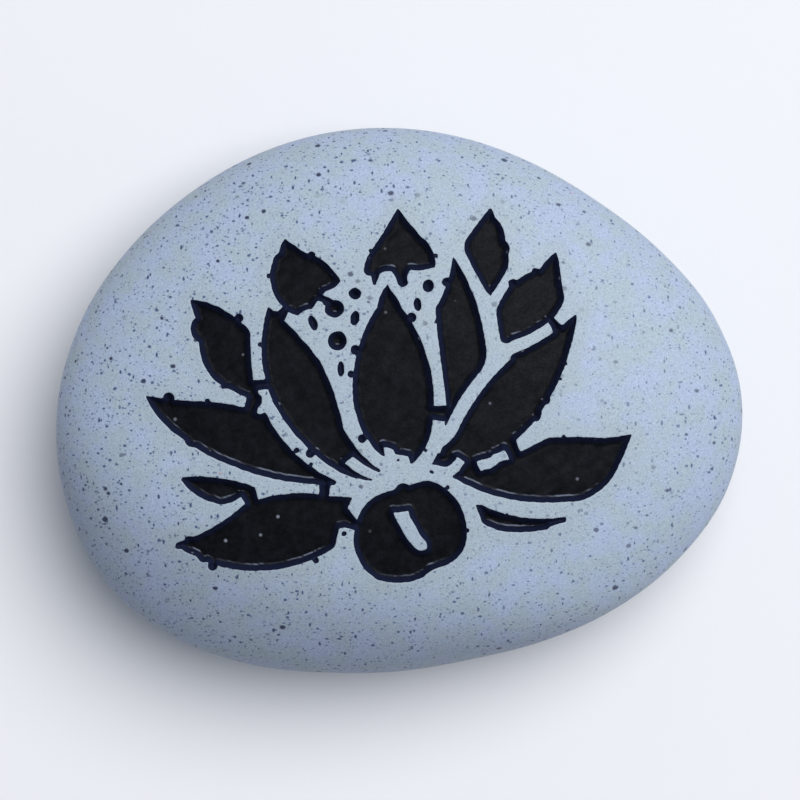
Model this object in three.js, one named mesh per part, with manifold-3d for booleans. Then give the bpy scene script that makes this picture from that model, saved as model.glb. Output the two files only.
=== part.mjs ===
// Carved stone pebble: a flat oval river stone with a lotus flower cut into its upper face.
// The stone and the flower are one solid. Millimetres, +Z up, the carved face up. X runs
// along the stone, and the origin is under its middle, on the surface that it lies on.
import * as THREE from "three";
import Module from "manifold-3d";
import { mergeVertices } from "three/addons/utils/BufferGeometryUtils.js";

// The stone's outline seen from above: how far it reaches from its middle, every 15
// degrees counter-clockwise from +X.
const OUTLINE_REACH = [
  60.0, 57.0, 52.6, 49.2, 47.7, 47.4, 47.8, 48.7, 50.0, 51.8, 54.4, 57.5,
  60.0, 61.2, 61.0, 57.9, 53.5, 49.6, 47.7, 47.3, 49.2, 52.5, 56.3, 59.6,
];

// The widest line runs round the stone at this height, and sways up and down by a little.
const GIRDLE_HEIGHT = 17.4;
const GIRDLE_SWAY = 1.1;

// The crown above that line and the belly below it are domes. The higher its fullness,
// the flatter a dome is in the middle and the rounder at its rim; 2 is an ellipsoid. The
// belly reaches a little further down than the girdle is high, and what lies below the
// surface that the stone rests on is worn off to a small flat spot.
const CROWN_RISE = 20.6;
const CROWN_FULLNESS = 2.5;
const BELLY_DROP = 18.0;
const BELLY_FULLNESS = 2.25;

// Broad swells of a stone that water rounded, as a share of its size.
const SWELL = 0.013;

// The flower is sunk to this depth, with a floor that follows the crown.
const CARVING_DEPTH = 1.8;

// How finely the stone's facets divide the twenty faces of an icosahedron, and how far a
// facet of a curved cut may stand off its arc.
const STONE_DETAIL = 12;
const ARC_TOLERANCE = 0.12;

// The cuts of the flower, seen from above. Each is a list of corners [x, y, swell],
// counter-clockwise. The edge from a corner to the next is an arc that swells out of the
// cut by that much at its middle, or into it where the swell is negative.
const CUTS = {
  topPetal: [
    [-0.4, 33.0, -0.1], [-5.2, 25.2, 0.2], [-6.2, 22.2, 0.1], [-5.8, 21.4], [-5.0, 21.2],
    [-4.7, 19.8, 0.15], [-4.1, 19.8], [-3.4, 21.6, -0.2], [-1.5, 22.0, -0.15], [-0.5, 20.0, 0.7],
    [1.4, 20.0, -0.4], [1.9, 22.3], [3.2, 22.1], [6.0, 22.7, 0.2], [5.7, 25.4, 0.25], [3.7, 27.9, -0.1],
  ],
  topRightPetal: [
    [15.6, 33.2, 0.1], [11.8, 28.2, 0.4], [11.2, 25.2, 0.1], [14.8, 18.5], [15.5, 17.8, 0.1],
    [18.6, 22.8, 0.1], [18.6, 25.1, 0.5], [18.1, 27.3], [17.9, 28.8], [17.3, 30.5], [16.4, 31.4],
  ],
  upperLeftPetal: [
    [-19.8, 27.7, 0.2], [-20.7, 25.4], [-21.4, 24.8, 0.1], [-21.9, 23.6, 1.0], [-20.5, 16.4, 0.3],
    [-17.4, 14.4, -0.3], [-15.1, 15.5, -0.1], [-12.7, 18.6, 0.3], [-10.2, 20.3, 0.85], [-16.1, 25.2],
  ],
  leftUpperPetal: [
    [-36.1, 17.3, 0.1], [-35.1, 14.2, 1.15], [-34.5, 9.9, 0.45], [-32.6, 4.3, 0.1], [-30.7, 2.6],
    [-30.5, 1.9], [-29.4, 2.0, 0.1], [-26.2, 0.4], [-24.9, 1.6, -0.15], [-25.6, 11.2, 0.25],
    [-27.1, 13.1, 0.88],
  ],
  leftInnerPetal: [
    [-22.6, 16.0, 1.6], [-21.6, -0.6, 0.55], [-14.3, -9.5, 1.0], [-4.2, -13.9], [-3.3, -12.0, -0.65],
    [-9.7, -4.7, 0.45], [-13.7, 6.7, 0.4],
  ],
  centrePetal: [
    [-2.1, 19.8, 0.35], [-3.9, 15.9, 1.15], [-8.1, 1.5, 1.25], [-3.2, -9.5], [-2.5, -9.7],
    [-2.8, -8.0], [-1.2, -8.4], [-0.8, -9.3], [1.4, -9.6], [1.8, -11.2, 0.7], [5.5, -4.6, 2.1],
    [0.4, 15.7, 0.05],
  ],
  rightInnerPetal: [
    [9.0, 24.8, -0.55], [6.1, 15.8, 0.1], [6.7, 9.0], [7.9, -0.8], [7.6, -3.7], [7.7, -4.8],
    [8.4, -3.3, -0.35], [13.8, 4.9, 0.5], [14.6, 9.3, 1.05],
  ],
  smallRightPetal: [
    [26.8, 25.5, 0.15], [24.0, 22.5], [23.0, 22.7, 0.1], [22.5, 22.0, 0.1], [20.0, 20.5], [19.4, 20.8],
    [18.6, 20.4, 0.1], [18.7, 19.5, 0.15], [16.5, 15.5], [16.5, 14.6, 0.05], [17.2, 10.2, 0.1],
    [17.7, 9.8, 0.1], [18.6, 9.7], [19.6, 10.3, 0.3], [25.4, 13.3], [26.3, 14.0, 0.1],
    [28.0, 16.6, 0.1], [28.1, 18.1, -0.1], [27.4, 23.3, 0.1],
  ],
  rightPetal: [
    [30.2, 14.8], [28.6, 13.5, -0.5], [19.3, 7.9, 0.1], [18.9, 7.0, 0.75], [9.9, -5.1, -0.25],
    [7.2, -8.1], [6.9, -9.0], [6.4, -9.1], [5.3, -11.1, -0.15], [7.6, -11.5, 0.35], [9.7, -9.8],
    [11.0, -10.6], [13.2, -10.5], [15.4, -9.9], [16.0, -9.3], [16.7, -9.1], [17.8, -8.5],
    [20.0, -6.7, 0.05], [23.0, -3.7], [23.7, -3.6, 0.2], [24.2, -1.9], [24.9, -0.8],
    [25.6, -0.5, 0.1], [25.7, 0.5], [26.4, 1.7, 0.5], [30.3, 13.8],
  ],
  lowerRightPetal: [
    [39.9, -5.8, -0.1], [35.0, -6.5, 0.1], [25.7, -6.4, 0.1], [20.6, -8.9], [18.5, -10.2, 0.1],
    [17.0, -10.6], [15.4, -11.8, 0.1], [13.8, -12.1], [10.2, -12.1], [8.9, -13.0], [9.2, -13.4, 1.05],
    [24.9, -17.6, 0.1], [31.0, -17.3, 1.05], [37.7, -11.0, 0.05],
  ],
  lowerRightSliver: [
    [12.9, -17.9], [14.0, -21.0, 0.4], [19.3, -22.7, 0.1], [25.2, -22.3], [25.8, -21.7],
    [28.5, -20.9], [28.6, -20.0, -1.1], [14.0, -18.0],
  ],
  leftPetal: [
    [-43.9, 0.8, 0.8], [-37.0, -6.8], [-36.7, -7.6, 0.1], [-36.0, -8.1], [-35.0, -8.2],
    [-34.1, -8.8, 1.1], [-14.9, -14.4], [-11.3, -14.6, 0.2], [-10.9, -13.8, -1.25],
    [-22.2, -3.6, 0.1], [-23.1, -2.1], [-24.0, -2.4], [-26.7, -1.3, 0.15], [-32.0, -0.4],
    [-38.3, 0.0], [-41.0, 0.35],
  ],
  smallLeftPetal: [
    [-37.6, -13.7], [-36.6, -14.9, 0.65], [-30.3, -17.9, 0.2], [-27.2, -16.6], [-24.7, -15.4],
    [-24.8, -14.9, 0.7], [-37.2, -13.2, 0.1],
  ],
  lowerLeftPetal: [
    [-38.7, -25.2], [-38.4, -25.6], [-37.6, -25.6], [-37.0, -26.1], [-35.1, -26.9],
    [-34.4, -27.8, 0.1], [-33.2, -27.9, 2.3], [-12.3, -26.0, 0.1], [-11.0, -24.8], [-10.9, -24.0],
    [-10.4, -22.0], [-9.5, -21.8], [-8.9, -18.3], [-8.0, -16.6], [-12.1, -16.4, 0.75],
    [-24.2, -17.0], [-26.6, -17.8, -0.45], [-35.5, -23.5, 0.1], [-37.0, -23.6], [-37.1, -24.1],
    [-38.5, -24.6],
  ],
  bud: [
    [-7.3, -20.4], [-7.8, -22.3, 1.45], [-4.0, -30.8, 0.75], [3.9, -30.5], [5.5, -29.2],
    [7.4, -28.5, 1.15], [11.5, -23.0], [11.4, -21.7, 1.6], [5.0, -13.8, 0.15], [1.5, -14.6, 0.55],
    [-0.7, -15.0], [-1.3, -15.5, 1.15],
  ],
};

// Short necks that join one petal's cut to the next, as corners.
const NECKS = {
  leftUpperToInner: [[-25.2, 3.4], [-25.2, 1.7], [-22.2, 1.8], [-22.2, 3.5]],
  leftUpperToLeft: [
    [-26.3, 0.4], [-26.7, -1.5], [-24.5, -2.2], [-24.2, -1.3], [-23.6, -0.6], [-23.6, 0.5],
    [-24.2, 1.2], [-24.3, 1.8], [-25.1, 1.9],
  ],
  upperLeftToInner: [
    [-20.1, 16.0], [-20.9, 15.2], [-22.0, 15.2], [-21.5, 14.0], [-19.8, 13.3], [-19.6, 14.0],
    [-19.0, 15.2],
  ],
  upperLeftToPit: [[-13.3, 18.1], [-14.2, 17.0], [-13.3, 16.8], [-12.9, 16.1], [-11.5, 17.1]],
  centreToRightInner: [[5.2, -1.1], [5.2, -3.4], [7.7, -3.7], [8.1, -0.9]],
  smallRightToRight: [[25.3, 13.3], [25.6, 12.9], [26.3, 11.4], [27.8, 12.8], [26.2, 14.2]],
  rightToLowerRightOuter: [
    [18.7, -10.3], [20.7, -8.9], [20.3, -8.1], [19.8, -6.8], [17.8, -8.4], [18.3, -9.2],
  ],
  rightToLowerRightInner: [
    [10.0, -12.4], [14.0, -12.4], [13.6, -11.7], [13.05, -10.7], [13.3, -10.2], [10.9, -10.2],
    [11.0, -10.8], [10.4, -11.5],
  ],
  leftToLowerLeft: [[-13.8, -14.2], [-13.8, -16.6], [-12.1, -16.6], [-11.9, -14.4]],
  smallLeftToLowerLeft: [
    [-27.2, -16.6], [-26.4, -18.1], [-24.0, -17.4], [-24.4, -16.6], [-24.7, -15.2],
  ],
  lowerLeftToBud: [
    [-9.0, -18.5], [-10.2, -21.9], [-9.5, -21.8], [-8.7, -22.1], [-7.2, -22.4], [-6.9, -20.5],
    [-7.45, -20.4],
  ],
};

// Separate small pits, as ellipses: middle, half-widths along x and y, and the turn in
// degrees counter-clockwise.
const PITS = [
  { x: -7.7, y: 18.2, halfX: 1.1, halfY: 1.0, turn: 0 },
  { x: -11.2, y: 15.6, halfX: 1.65, halfY: 1.5, turn: 0 },
  { x: -14.9, y: 13.15, halfX: 0.75, halfY: 1.35, turn: 20 },
  { x: -10.7, y: 10.1, halfX: 1.65, halfY: 1.65, turn: 0 },
  { x: -7.7, y: 14.0, halfX: 0.8, halfY: 1.3, turn: -12 },
  { x: -10.1, y: 5.3, halfX: 0.6, halfY: 1.35, turn: 0 },
  { x: 4.85, y: 19.5, halfX: 0.95, halfY: 1.1, turn: 0 },
  { x: 3.0, y: 16.35, halfX: 0.7, halfY: 1.15, turn: 8 },
  { x: 5.4, y: -12.3, halfX: 0.5, halfY: 0.3, turn: -40 },
];
const PIT_SIDES = 10;

// The larger of the round nicks in the petals' edges: middle and radius.
const NICKS = [
  { x: -27.6, y: 14.0, radius: 0.78 },
  { x: -15.2, y: 24.8, radius: 0.7 },
  { x: -15.3, y: -9.1, radius: 0.8 },
  { x: -7.6, y: 8.5, radius: 0.9 },
  { x: -6.5, y: -6.6, radius: 0.77 },
  { x: 2.0, y: 14.15, radius: 0.85 },
  { x: 7.9, y: 20.2, radius: 0.75 },
  { x: -39.7, y: 0.3, radius: 1.0 },
  { x: -32.2, y: -28.5, radius: 0.85 },
];

// Stone left standing inside the cuts: the stigma in the bud, and a tongue that parts the
// root of the left inner petal in two.
const LEFT_STANDING = {
  stigma: [
    [-1.1, -19.2, 0.3], [2.5, -25.3, 0.35], [4.5, -25.6, 0.1], [4.4, -24.3, -0.3], [1.4, -19.0, -0.1],
  ],
  tongue: [
    [-9.5, -10.9], [-8.6, -11.4, 0.25], [-5.0, -13.4], [-3.8, -14.1], [-2.5, -12.9], [-6.1, -11.2],
    [-8.1, -9.7],
  ],
};

// The cutters reach from inside the stone to above its top.
const CUTTER_BOTTOM = 15;
const CUTTER_TOP = 45;

const wasm = await Module();
wasm.setup();

// A closed geometry becomes a solid that can be joined and cut.
function solidFrom(geometry) {
  const closed = geometry.clone();
  closed.deleteAttribute("normal");
  closed.deleteAttribute("uv");
  const merged = mergeVertices(closed);
  return new wasm.Manifold(new wasm.Mesh({
    numProp: 3,
    vertProperties: new Float32Array(merged.attributes.position.array),
    triVerts: new Uint32Array(merged.index.array),
  }));
}

function geometryFrom(solid) {
  const mesh = solid.getMesh();
  const geometry = new THREE.BufferGeometry();
  geometry.setAttribute("position", new THREE.BufferAttribute(mesh.vertProperties, 3));
  geometry.setIndex(new THREE.BufferAttribute(mesh.triVerts, 1));
  geometry.computeVertexNormals();
  return geometry;
}

// The outline's reach in any direction: a smooth closed curve through the measured ones.
function outlineReach(angle) {
  const count = OUTLINE_REACH.length;
  const place = (angle / (2 * Math.PI) * count + count) % count;
  const first = Math.floor(place);
  const t = place - first;
  const [a, b, c, d] = [-1, 0, 1, 2].map((step) => OUTLINE_REACH[(first + step + count) % count]);
  return b + 0.5 * t * (c - a + t * (2 * a - 5 * b + 4 * c - d + t * (3 * (b - c) + d - a)));
}

// The stone's surface in the direction of a point on the unit sphere.
function stoneSurface(direction) {
  const flat = Math.hypot(direction.x, direction.y);
  const angle = Math.atan2(direction.y, direction.x);
  const crown = direction.z >= 0;
  const fullness = crown ? CROWN_FULLNESS : BELLY_FULLNESS;
  const height = crown ? CROWN_RISE : BELLY_DROP;
  const swell = Math.sin(3 * direction.x + 1.7) * Math.cos(2.6 * direction.y - 0.6);
  const reach = (flat ** fullness + Math.abs(direction.z) ** fullness) ** (-1 / fullness)
    * (1 + SWELL * direction.z ** 2 * swell);
  const sway = GIRDLE_SWAY * flat ** 4 * Math.sin(2 * angle + 0.8);
  return new THREE.Vector3(
    outlineReach(angle) * reach * flat * Math.cos(angle),
    outlineReach(angle) * reach * flat * Math.sin(angle),
    GIRDLE_HEIGHT + height * reach * direction.z + sway,
  );
}

// The whole stone, before its flat spot and its flower.
function roundedStone() {
  const geometry = new THREE.IcosahedronGeometry(1, STONE_DETAIL);
  geometry.deleteAttribute("normal");
  geometry.deleteAttribute("uv");
  const merged = mergeVertices(geometry);
  const places = merged.attributes.position;
  const direction = new THREE.Vector3();
  for (let i = 0; i < places.count; i += 1) {
    direction.fromBufferAttribute(places, i).normalize();
    places.setXYZ(i, ...stoneSurface(direction));
  }
  return solidFrom(merged);
}

// The flat spot is what a level plane takes off the belly.
function belowRest() {
  const size = 3 * Math.max(...OUTLINE_REACH);
  const block = new THREE.BoxGeometry(size, size, size);
  block.translate(0, 0, -size / 2);
  return solidFrom(block);
}

// The points of an arc after its first corner, up to and with its last one.
function arcPoints(from, to, swell) {
  const start = new THREE.Vector2(...from);
  const end = new THREE.Vector2(...to);
  const pieces = Math.max(1, Math.ceil(Math.sqrt(Math.abs(swell) / ARC_TOLERANCE)));
  if (pieces === 1) {
    return [end];
  }
  const chord = end.clone().sub(start);
  const halfChord = chord.length() / 2;
  const radius = (halfChord ** 2 + swell ** 2) / (2 * swell);
  const outward = new THREE.Vector2(chord.y, -chord.x).normalize();
  const centre = start.clone().add(end).multiplyScalar(0.5).addScaledVector(outward, swell - radius);
  const turn = 4 * Math.atan2(swell, halfChord);
  const points = [];
  for (let i = 1; i <= pieces; i += 1) {
    points.push(start.clone().rotateAround(centre, turn * i / pieces));
  }
  return points;
}

function outlineOf(corners) {
  return corners.flatMap(([x, y, swell = 0], i) => {
    const [nextX, nextY] = corners[(i + 1) % corners.length];
    return arcPoints([x, y], [nextX, nextY], swell);
  });
}

function prism(points) {
  const depth = CUTTER_TOP - CUTTER_BOTTOM;
  const geometry = new THREE.ExtrudeGeometry(new THREE.Shape(points), { depth, bevelEnabled: false });
  geometry.translate(0, 0, CUTTER_BOTTOM);
  return solidFrom(geometry);
}

function pitOutline({ x, y, halfX, halfY, turn }) {
  const ring = new THREE.EllipseCurve(x, y, halfX, halfY, 0, 2 * Math.PI, false, 0);
  const middle = new THREE.Vector2(x, y);
  const points = ring.getPoints(PIT_SIDES).slice(1);
  return points.map((point) => point.rotateAround(middle, THREE.MathUtils.degToRad(turn)));
}

function nickOutline({ x, y, radius }) {
  return pitOutline({ x, y, halfX: radius, halfY: radius, turn: 0 });
}

// Everything that is cut away, still as tall prisms.
function flowerPrisms() {
  const petals = Object.values(CUTS).map((corners) => prism(outlineOf(corners)));
  const necks = Object.values(NECKS).map((corners) => prism(outlineOf(corners)));
  const pits = PITS.map((pit) => prism(pitOutline(pit)));
  const nicks = NICKS.map((nick) => prism(nickOutline(nick)));
  const cut = [...petals, ...necks, ...pits, ...nicks].reduce((sum, cutter) => sum.add(cutter));
  const standing = Object.values(LEFT_STANDING).map((corners) => prism(outlineOf(corners)));
  return standing.reduce((rest, stone) => rest.subtract(stone), cut);
}

function carvedStone() {
  const stone = roundedStone();
  const floor = stone.translate([0, 0, -CARVING_DEPTH]);
  const flower = flowerPrisms().subtract(floor);
  return stone.subtract(flower).subtract(belowRest());
}

const pebble = new THREE.Mesh(
  geometryFrom(carvedStone()),
  new THREE.MeshStandardMaterial({ color: "#a9b7c6", roughness: 0.62, metalness: 0 }),
);
pebble.name = "carved_pebble";

const object = new THREE.Group();
object.add(pebble);

export default object;
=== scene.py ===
"""Dresses the carved river stone: its tumbled skin, the sunk lotus and the black paint in it.

The stone is one piece. Its form is the CAD node's own formula, so it takes the node's place.
Blender works in metres, +Z up, with the carved face up. The sizes of the real stone are given
in millimetres and turned to metres by MM.
"""
import logging
import math
from dataclasses import dataclass, field
from enum import Enum

import bmesh
import bpy
import numpy as np
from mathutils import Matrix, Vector


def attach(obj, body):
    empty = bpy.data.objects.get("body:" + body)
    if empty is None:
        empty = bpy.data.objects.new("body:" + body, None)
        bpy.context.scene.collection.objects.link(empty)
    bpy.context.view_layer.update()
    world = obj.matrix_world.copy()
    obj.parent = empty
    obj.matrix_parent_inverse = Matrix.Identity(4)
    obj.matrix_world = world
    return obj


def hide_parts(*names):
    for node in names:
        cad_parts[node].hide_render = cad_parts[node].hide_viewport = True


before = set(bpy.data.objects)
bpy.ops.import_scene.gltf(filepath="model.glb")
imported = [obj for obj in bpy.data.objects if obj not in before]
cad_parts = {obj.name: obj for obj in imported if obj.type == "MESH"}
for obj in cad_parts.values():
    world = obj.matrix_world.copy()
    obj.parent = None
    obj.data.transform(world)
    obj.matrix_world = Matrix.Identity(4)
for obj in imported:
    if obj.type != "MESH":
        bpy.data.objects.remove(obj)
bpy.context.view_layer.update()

MM = 0.001
SEED = 7
CAD_NODE = "carved_pebble"

Corner = tuple[float, float, float]
Colour = tuple[float, float, float, float]

# The numbers of the Mix node's sockets when it mixes colours.
MIX_FACTOR = 0
MIX_FIRST = 6
MIX_SECOND = 7
MIX_RESULT = 2


def srgb(code: str) -> Colour:
    """Turns an sRGB hex colour to the linear one that a shader takes.

    Args:
        code: The colour as "#rrggbb".

    Returns:
        Linear red, green and blue, and an alpha of 1.
    """
    parts = [int(code[i:i + 2], 16) / 255 for i in (1, 3, 5)]
    linear = [p / 12.92 if p <= 0.04045 else ((p + 0.055) / 1.055) ** 2.4 for p in parts]
    return (linear[0], linear[1], linear[2], 1.0)


def add_node(tree: bpy.types.NodeTree, kind: str, inputs: dict | None = None, **settings) -> bpy.types.Node:
    """Adds one shader node with its settings, values and links.

    Args:
        tree: The node tree that the node joins.
        kind: The node's class name after "ShaderNode".
        inputs: For each input's name or number, a value, or another node's output to link.
        **settings: The node's own properties.

    Returns:
        The new node.
    """
    node = tree.nodes.new(f"ShaderNode{kind}")
    for name, value in settings.items():
        setattr(node, name, value)
    for key, value in (inputs or {}).items():
        if isinstance(value, bpy.types.NodeSocket):
            tree.links.new(value, node.inputs[key])
        else:
            node.inputs[key].default_value = value
    return node


class EdgeRole(Enum):
    """What an outline in the flower does to the stone."""

    CUT = "the stone inside it is blasted away"
    STANDING = "the stone inside it is left standing"


@dataclass(frozen=True)
class StoneForm:
    """The rounded stone as a formula, the same as the CAD node's, in millimetres."""

    outline_reach: tuple[float, ...] = (
        60.0, 57.0, 52.6, 49.2, 47.7, 47.4, 47.8, 48.7, 50.0, 51.8, 54.4, 57.5,
        60.0, 61.2, 61.0, 57.9, 53.5, 49.6, 47.7, 47.3, 49.2, 52.5, 56.3, 59.6,
    )
    girdle_height: float = 17.4
    girdle_sway: float = 1.1
    crown_rise: float = 20.6
    crown_fullness: float = 2.5
    belly_drop: float = 18.0
    belly_fullness: float = 2.25
    swell: float = 0.013

    def reach_at(self, angle: np.ndarray) -> np.ndarray:
        """How far the outline reaches from the stone's middle.

        Args:
            angle: Directions seen from above, in radians from +X.

        Returns:
            The reach in each direction, on a smooth closed curve through outline_reach.
        """
        reach = np.array(self.outline_reach)
        place = angle / (2 * np.pi) * reach.size % reach.size
        first = np.floor(place).astype(int)
        t = place - first
        a, b, c, d = (reach[(first + step) % reach.size] for step in (-1, 0, 1, 2))
        return b + 0.5 * t * (c - a + t * (2 * a - 5 * b + 4 * c - d + t * (3 * (b - c) + d - a)))

    def surface(self, directions: np.ndarray) -> np.ndarray:
        """Places points of the unit sphere on the stone.

        Args:
            directions: Unit vectors, one a row.

        Returns:
            The stone's points in those directions, one a row.
        """
        x, y, z = directions.T
        flat = np.hypot(x, y)
        angle = np.arctan2(y, x)
        crown = z >= 0
        fullness = np.where(crown, self.crown_fullness, self.belly_fullness)
        height = np.where(crown, self.crown_rise, self.belly_drop)
        swell = np.sin(3 * x + 1.7) * np.cos(2.6 * y - 0.6)
        reach = (flat ** fullness + np.abs(z) ** fullness) ** (-1 / fullness)
        reach = reach * (1 + self.swell * z ** 2 * swell)
        sway = self.girdle_sway * flat ** 4 * np.sin(2 * angle + 0.8)
        side = self.reach_at(angle) * reach * flat
        return np.column_stack((
            side * np.cos(angle),
            side * np.sin(angle),
            self.girdle_height + height * reach * z + sway,
        ))


@dataclass
class Outline:
    """One closed line of the flower, seen from above, in millimetres."""

    points: np.ndarray
    role: EdgeRole
    starts: np.ndarray = field(init=False)
    ends: np.ndarray = field(init=False)

    def __post_init__(self) -> None:
        """Takes every stretch of the line as an edge of the cut, until some are dropped."""
        self.starts = self.points
        self.ends = np.roll(self.points, -1, axis=0)

    def holds(self, places: np.ndarray) -> np.ndarray:
        """Tells which places lie inside the line.

        Args:
            places: Points seen from above, one a row.

        Returns:
            True for each place inside.
        """
        x, y = places[:, :1], places[:, 1:]
        x1, y1 = self.points.T
        x2, y2 = np.roll(self.points, -1, axis=0).T
        rise = np.where(y2 == y1, 1e-12, y2 - y1)
        crossed = ((y1 > y) != (y2 > y)) & (x < x1 + (y - y1) * (x2 - x1) / rise)
        return crossed.sum(axis=1) % 2 == 1

    def distance(self, places: np.ndarray) -> np.ndarray:
        """Measures how far places are from the stretches of the line that are edges.

        Args:
            places: Points seen from above, one a row.

        Returns:
            The distance of each place.
        """
        along = self.ends - self.starts
        length = np.maximum((along ** 2).sum(axis=1), 1e-12)
        offset = places[:, None, :] - self.starts
        share = np.clip((offset * along).sum(axis=2) / length, 0, 1)
        gap = offset - share[:, :, None] * along
        return np.sqrt((gap ** 2).sum(axis=2).min(axis=1))


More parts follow.
